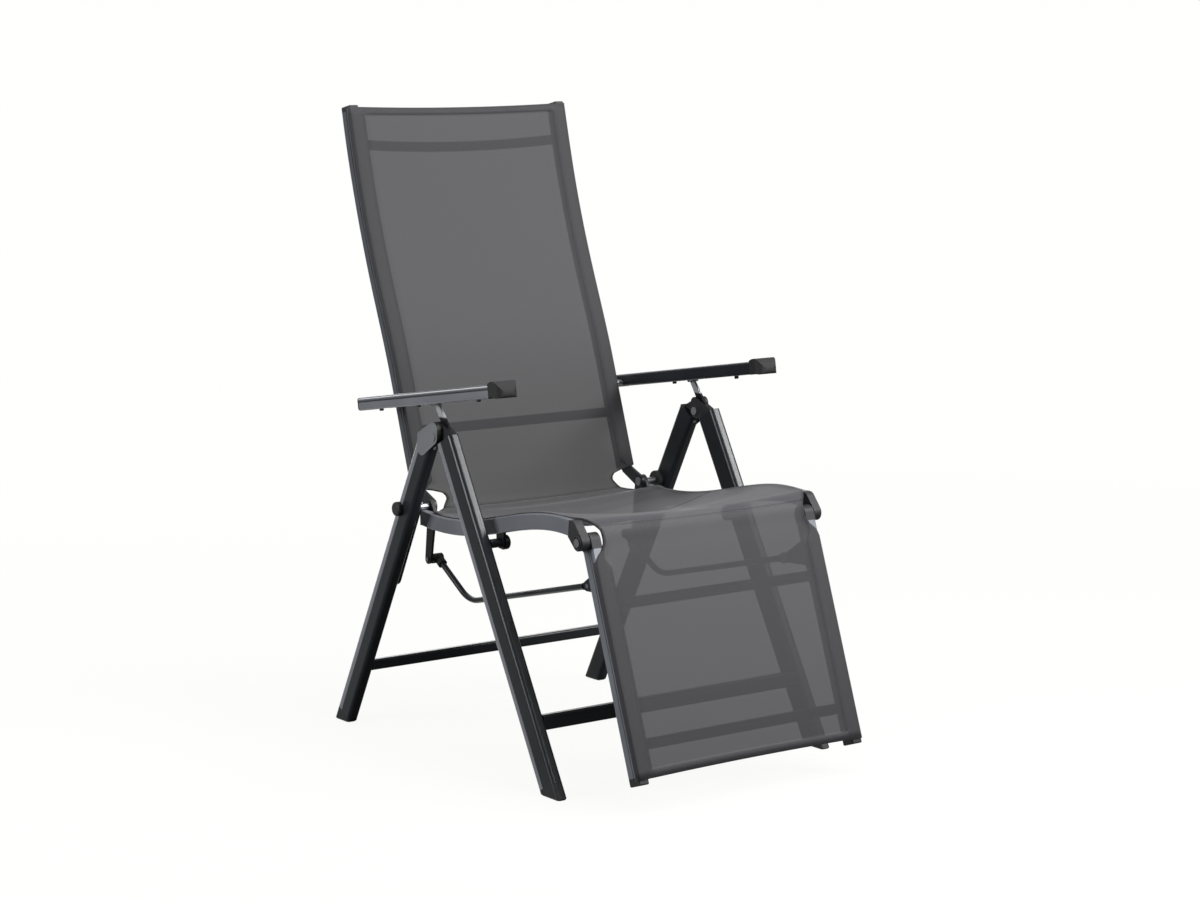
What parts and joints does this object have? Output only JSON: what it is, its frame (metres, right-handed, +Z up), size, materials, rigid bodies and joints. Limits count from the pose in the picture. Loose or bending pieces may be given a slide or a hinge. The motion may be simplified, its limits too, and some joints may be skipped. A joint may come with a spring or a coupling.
{
  "type": "reclining garden armchair",
  "caption": "Folding reclining garden armchair with a textile sling seat, a high back, a linked footrest, crossed aluminium legs and adjustable armrests.",
  "frame": {"origin": "floor level, in the middle of the chair's width and of its overall depth in the upright position", "axes": "+Z is up from the floor, -Y is the way a sitter faces, X runs across the chair with the sitter's left at +X"},
  "size_m": [0.622, 0.9252, 1.1503],
  "materials": {
    "anthracite_frame": "satin powder coat",
    "black_plastic": "matt",
    "grey_plastic": "satin",
    "light_aluminium": "satin anodised",
    "steel_fittings": "satin",
    "sling_fabric": "woven mesh"
  },
  "bodies": {
    "front_frame": {"front_leg_left": "anthracite_frame", "front_leg_right": "anthracite_frame", "front_foot_left": "black_plastic", "front_foot_right": "black_plastic", "front_leg_crossbar": "anthracite_frame", "front_leg_caps": "black_plastic", "lock_strut_left": "light_aluminium", "lock_strut_right": "light_aluminium", "lock_pins": "steel_fittings", "leg_hinge_pins": "steel_fittings", "seat_pivot_studs": "anthracite_frame"},
    "seat": {"seat_rail_left": "anthracite_frame", "seat_rail_right": "anthracite_frame", "seat_nose_left": "black_plastic", "seat_nose_right": "black_plastic", "seat_hinge_fittings": "black_plastic", "seat_tabs": "anthracite_frame", "seat_sling": "sling_fabric"},
    "rear_legs": {"rear_leg_left": "anthracite_frame", "rear_leg_right": "anthracite_frame", "rear_foot_left": "black_plastic", "rear_foot_right": "black_plastic", "rear_leg_crossbar": "anthracite_frame", "rear_leg_caps": "grey_plastic", "link_rivets": "steel_fittings", "lock_knobs": "black_plastic"},
    "swing_links": {"swing_link_left": "black_plastic", "swing_link_right": "black_plastic"},
    "back_hinge": {"back_hinge_pins": "steel_fittings"},
    "back": {"back_rail_left": "anthracite_frame", "back_rail_right": "anthracite_frame", "back_caps": "black_plastic", "back_head_crossbar": "anthracite_frame", "back_lumbar_crossbar": "anthracite_frame", "hinge_plate_left": "anthracite_frame", "hinge_plate_right": "anthracite_frame", "crank_rivets": "steel_fittings", "back_sling": "sling_fabric"},
    "arm_hinge": {"armrest_bolts": "steel_fittings"},
    "armrests": {"armrest_rail_left": "light_aluminium", "armrest_rail_right": "light_aluminium", "armrest_tip_left": "black_plastic", "armrest_tip_right": "black_plastic", "armrest_end_caps": "black_plastic", "armrest_racks": "black_plastic"},
    "knee_hinge": {"knee_hinge_pins": "steel_fittings"},
    "footrest": {"footrest_rail_left": "anthracite_frame", "footrest_rail_right": "anthracite_frame", "footrest_knuckles": "black_plastic", "footrest_toe_caps": "black_plastic", "footrest_calf_crossbar": "anthracite_frame", "footrest_toe_crossbar": "anthracite_frame", "footrest_lugs": "anthracite_frame", "footrest_sling": "sling_fabric"},
    "rod_hinge": {"rod_pins": "steel_fittings"},
    "rods": {"rod_left": "anthracite_frame", "rod_right": "anthracite_frame", "rod_clips": "black_plastic"}
  },
  "joints": [
    {"name": "fold", "type": "hinge", "parent": "front_frame", "child": "seat", "pos_m": [0, -0.07666, 0.404], "axis": [-1, 0, 0], "range_deg": [0, 72]},
    {"name": "leg_spread", "type": "hinge", "parent": "front_frame", "child": "rear_legs", "pos_m": [0, 0.06337, 0.577], "axis": [-1, 0, 0], "range_deg": [0, 54]},
    {"name": "link_swing", "type": "hinge", "parent": "rear_legs", "child": "swing_links", "pos_m": [0, 0.24542, 0.299], "axis": [-1, 0, 0], "range_deg": [0, 107.28]},
    {"name": "back_fold", "type": "hinge", "parent": "seat", "child": "back_hinge", "pos_m": [0, 0.17537, 0.434], "axis": [-1, 0, 0], "range_deg": [-76.32, 0]},
    {"name": "recline", "type": "hinge", "parent": "back_hinge", "child": "back", "pos_m": [0, 0.17537, 0.434], "axis": [-1, 0, 0], "range_deg": [0, 36]},
    {"name": "armrest_fold", "type": "hinge", "parent": "back", "child": "arm_hinge", "pos_m": [0, 0.27315, 0.611], "axis": [-1, 0, 0], "range_deg": [0, 93.6]},
    {"name": "armrest_level", "type": "hinge", "parent": "arm_hinge", "child": "armrests", "pos_m": [0, 0.27315, 0.611], "axis": [-1, 0, 0], "range_deg": [-21.6, 0]},
    {"name": "footrest_fold", "type": "hinge", "parent": "seat", "child": "knee_hinge", "pos_m": [0, -0.31363, 0.4375], "axis": [-1, 0, 0], "range_deg": [-75.6, 0]},
    {"name": "footrest_lift", "type": "hinge", "parent": "knee_hinge", "child": "footrest", "pos_m": [0, -0.31363, 0.4375], "axis": [-1, 0, 0], "range_deg": [0, 47.12]},
    {"name": "rod_fold", "type": "hinge", "parent": "footrest", "child": "rod_hinge", "pos_m": [0, -0.28663, 0.356], "axis": [-1, 0, 0], "range_deg": [0, 82.44]},
    {"name": "rod_swing", "type": "hinge", "parent": "rod_hinge", "child": "rods", "pos_m": [0, -0.28663, 0.356], "axis": [-1, 0, 0], "range_deg": [-48.02, 0]}
  ],
  "couplings": [
    {"joint": "leg_spread", "follows": "fold", "ratio": 0.75},
    {"joint": "link_swing", "follows": "fold", "ratio": 1.49},
    {"joint": "back_fold", "follows": "fold", "ratio": -1.06},
    {"joint": "armrest_fold", "follows": "fold", "ratio": 1.3},
    {"joint": "footrest_fold", "follows": "fold", "ratio": -1.05},
    {"joint": "rod_fold", "follows": "fold", "ratio": 1.145},
    {"joint": "armrest_level", "follows": "recline", "ratio": -0.6},
    {"joint": "footrest_lift", "follows": "recline", "ratio": 1.309},
    {"joint": "rod_swing", "follows": "recline", "ratio": -1.334}
  ]
}
